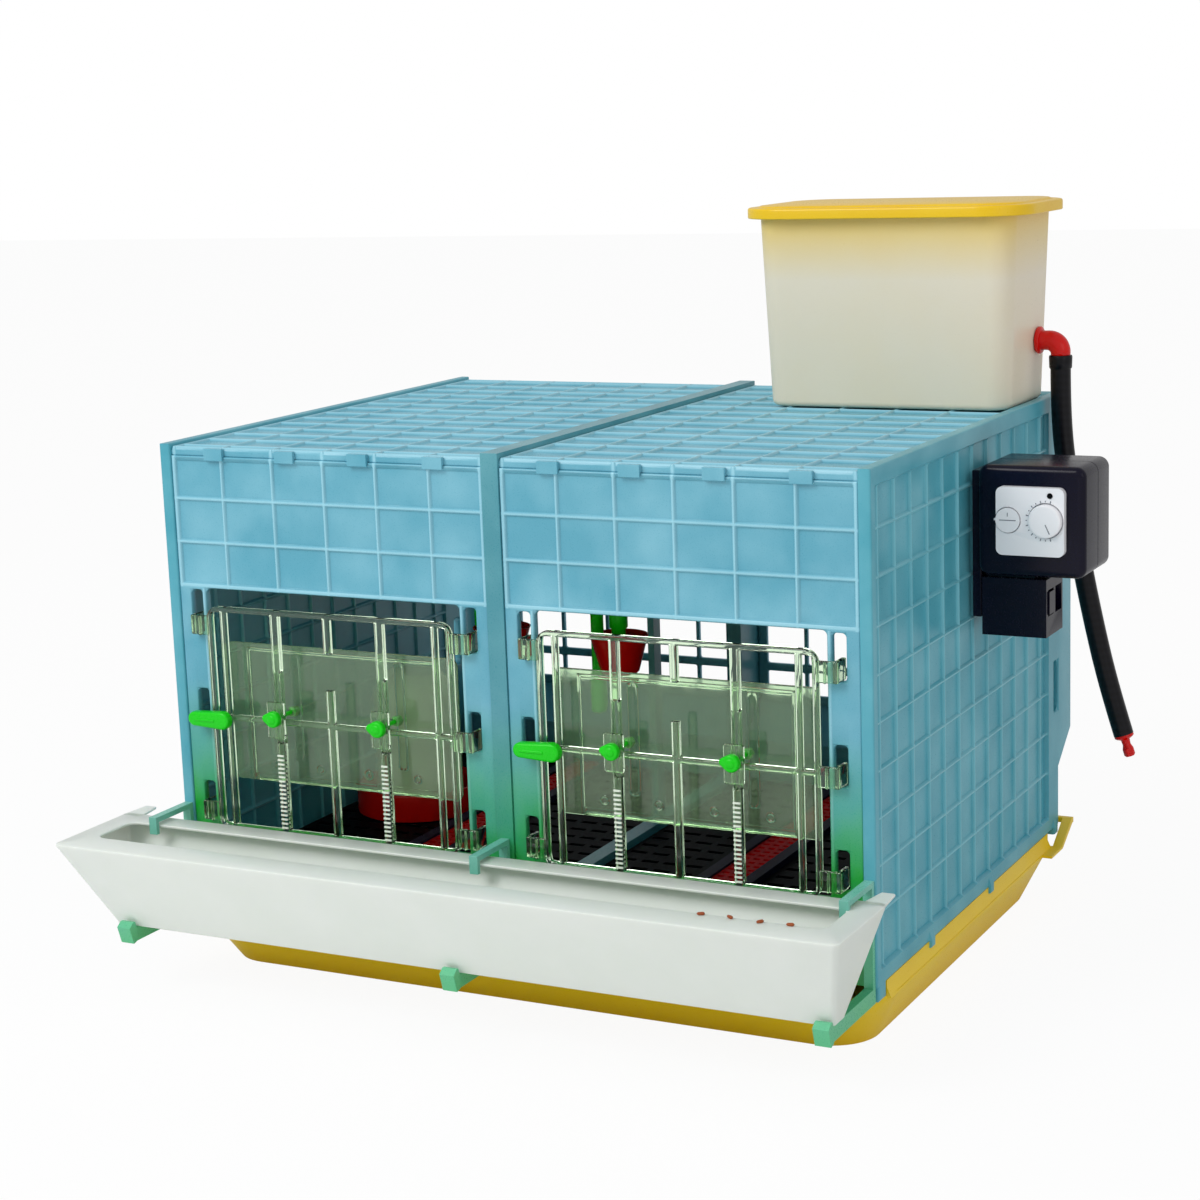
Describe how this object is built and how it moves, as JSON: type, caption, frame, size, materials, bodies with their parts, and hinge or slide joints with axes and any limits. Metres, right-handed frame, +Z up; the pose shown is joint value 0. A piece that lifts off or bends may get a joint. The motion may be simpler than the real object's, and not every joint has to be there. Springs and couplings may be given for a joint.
{
  "type": "chick brooder",
  "caption": "Moulded two-compartment chick brooder on a slide-out tray, with clear lift-off doors, sliding feed panes, feed trough, water tank with drain hose, and thermostat.",
  "frame": {"origin": "centre of the tray's underside, on the floor under the middle of the cage", "axes": "+X to the right along the front, +Y to the rear, +Z up"},
  "size_m": [1.009, 0.819, 0.819],
  "materials": {
    "cage_plastic": "moulded blue-teal polypropylene, satin",
    "bracket_plastic": "moulded pale teal polypropylene",
    "tray_plastic": "moulded yellow polypropylene",
    "lid_plastic": "moulded yellow polypropylene",
    "tank_plastic": "translucent cream polyethylene",
    "trough_plastic": "translucent white polypropylene",
    "clear_plastic": "clear polycarbonate",
    "rung_plastic": "white tooth scale",
    "green_plastic": "vivid green polypropylene",
    "red_plastic": "moulded red plastic",
    "yellow_cap_plastic": "moulded orange-yellow plastic",
    "hose_rubber": "black flexible hose",
    "box_plastic": "blue-black ABS, semi-gloss",
    "face_plastic": "white ABS",
    "mesh_plastic": "black polypropylene mat",
    "strip_plastic": "red slotted strip",
    "rail_plastic": "grey-purple rail",
    "heater_enamel": "dark enamel",
    "steel": "zinc-plated steel",
    "jar_plastic": "translucent white polypropylene"
  },
  "bodies": {
    "cage": {"middle_frame": "cage_plastic", "roof_clips": "cage_plastic", "floor_beams": "cage_plastic", "side_wall_left": "cage_plastic", "side_wall_right": "cage_plastic", "front_panel_left": "cage_plastic", "front_panel_right": "cage_plastic", "back_panel_left": "cage_plastic", "back_panel_right": "cage_plastic", "roof_panel_left": "cage_plastic", "roof_panel_right": "cage_plastic", "trough_bracket_left": "bracket_plastic", "trough_bracket_middle": "bracket_plastic", "trough_bracket_right": "bracket_plastic", "water_tank": "tank_plastic", "feed_trough": "trough_plastic", "drinker_stems": "green_plastic", "tank_elbow": "red_plastic", "elbow_nut": "red_plastic", "hose_plug": "red_plastic", "drinker_cups": "red_plastic", "drinker_caps": "yellow_cap_plastic", "drain_hose": "hose_rubber", "thermostat_bracket": "box_plastic", "thermostat_cover": "box_plastic", "thermostat_back_box": "box_plastic", "inlet_housing": "box_plastic", "thermostat_face": "face_plastic", "heat_sensor": "face_plastic", "floor_mesh_left": "mesh_plastic", "floor_mesh_right": "mesh_plastic", "thermostat_lamp": "mesh_plastic", "litter_strips": "strip_plastic", "strip_rails": "rail_plastic", "water_pipe": "rail_plastic", "heater_plate": "heater_enamel", "thermostat_screws": "steel", "inlet_pins": "steel", "heater_hangers": "steel"},
    "tray": {"droppings_tray": "tray_plastic"},
    "lid": {"tank_lid": "lid_plastic"},
    "dial": {"thermostat_dial": "face_plastic"},
    "switch": {"thermostat_switch": "face_plastic"},
    "rocker": {"inlet_rocker": "box_plastic"},
    "floor_drinker": {"drinker_base": "red_plastic", "drinker_jar": "jar_plastic"},
    "door_left": {"door_left": "clear_plastic", "door_rack_left": "rung_plastic"},
    "lever_left": {"door_lever_left": "green_plastic"},
    "pane_left": {"feed_pane_left": "clear_plastic", "clamp_blocks_left": "clear_plastic"},
    "knob_left_a": {"clamp_knob_left_a": "green_plastic"},
    "knob_left_b": {"clamp_knob_left_b": "green_plastic"},
    "door_right": {"door_right": "clear_plastic", "door_rack_right": "rung_plastic"},
    "lever_right": {"door_lever_right": "green_plastic"},
    "pane_right": {"feed_pane_right": "clear_plastic", "clamp_blocks_right": "clear_plastic"},
    "knob_right_a": {"clamp_knob_right_a": "green_plastic"},
    "knob_right_b": {"clamp_knob_right_b": "green_plastic"}
  },
  "joints": [
    {"name": "tray_slide", "type": "slide", "parent": "cage", "child": "tray", "axis": [0, 1, 0], "range_m": [0, 0.6]},
    {"name": "lid_lift", "type": "slide", "parent": "cage", "child": "lid", "axis": [0, 0, 1], "range_m": [0, 0.25]},
    {"name": "dial_turn", "type": "hinge", "parent": "cage", "child": "dial", "pos_m": [0.5004, -0.053, 0.5016], "axis": [0, -1, 0], "range_deg": [-135, 135]},
    {"name": "switch_rock", "type": "hinge", "parent": "cage", "child": "switch", "pos_m": [0.46, -0.0505, 0.501], "axis": [1, 0, 0], "range_deg": [0, 5]},
    {"name": "rocker_tip", "type": "hinge", "parent": "cage", "child": "rocker", "pos_m": [0.4935, -0.02, 0.41], "axis": [0, 1, 0], "range_deg": [0, 6]},
    {"name": "drinker_lift", "type": "slide", "parent": "cage", "child": "floor_drinker", "axis": [0, 0, 1], "range_m": [0, 0.06]},
    {"name": "door_left_lift", "type": "slide", "parent": "cage", "child": "door_left", "axis": [0, 0, 1], "range_m": [0, 0.018]},
    {"name": "lever_left_turn", "type": "hinge", "parent": "door_left", "child": "lever_left", "pos_m": [-0.3435, -0.342, 0.2895], "axis": [0, 1, 0], "range_deg": [0, 90]},
    {"name": "pane_left_slide", "type": "slide", "parent": "door_left", "child": "pane_left", "axis": [0, 0, 1], "range_m": [-0.025, 0.045]},
    {"name": "knob_left_a_turn", "type": "hinge", "parent": "pane_left", "child": "knob_left_a", "pos_m": [-0.272, -0.345, 0.298], "axis": [0, 1, 0], "range_deg": [0, 90]},
    {"name": "knob_left_b_turn", "type": "hinge", "parent": "pane_left", "child": "knob_left_b", "pos_m": [-0.139, -0.345, 0.298], "axis": [0, 1, 0], "range_deg": [0, 90]},
    {"name": "door_right_lift", "type": "slide", "parent": "cage", "child": "door_right", "axis": [0, 0, 1], "range_m": [0, 0.018]},
    {"name": "lever_right_turn", "type": "hinge", "parent": "door_right", "child": "lever_right", "pos_m": [0.0675, -0.342, 0.2895], "axis": [0, 1, 0], "range_deg": [0, 90]},
    {"name": "pane_right_slide", "type": "slide", "parent": "door_right", "child": "pane_right", "axis": [0, 0, 1], "range_m": [-0.025, 0.045]},
    {"name": "knob_right_a_turn", "type": "hinge", "parent": "pane_right", "child": "knob_right_a", "pos_m": [0.139, -0.345, 0.298], "axis": [0, 1, 0], "range_deg": [0, 90]},
    {"name": "knob_right_b_turn", "type": "hinge", "parent": "pane_right", "child": "knob_right_b", "pos_m": [0.272, -0.345, 0.298], "axis": [0, 1, 0], "range_deg": [0, 90]}
  ]
}
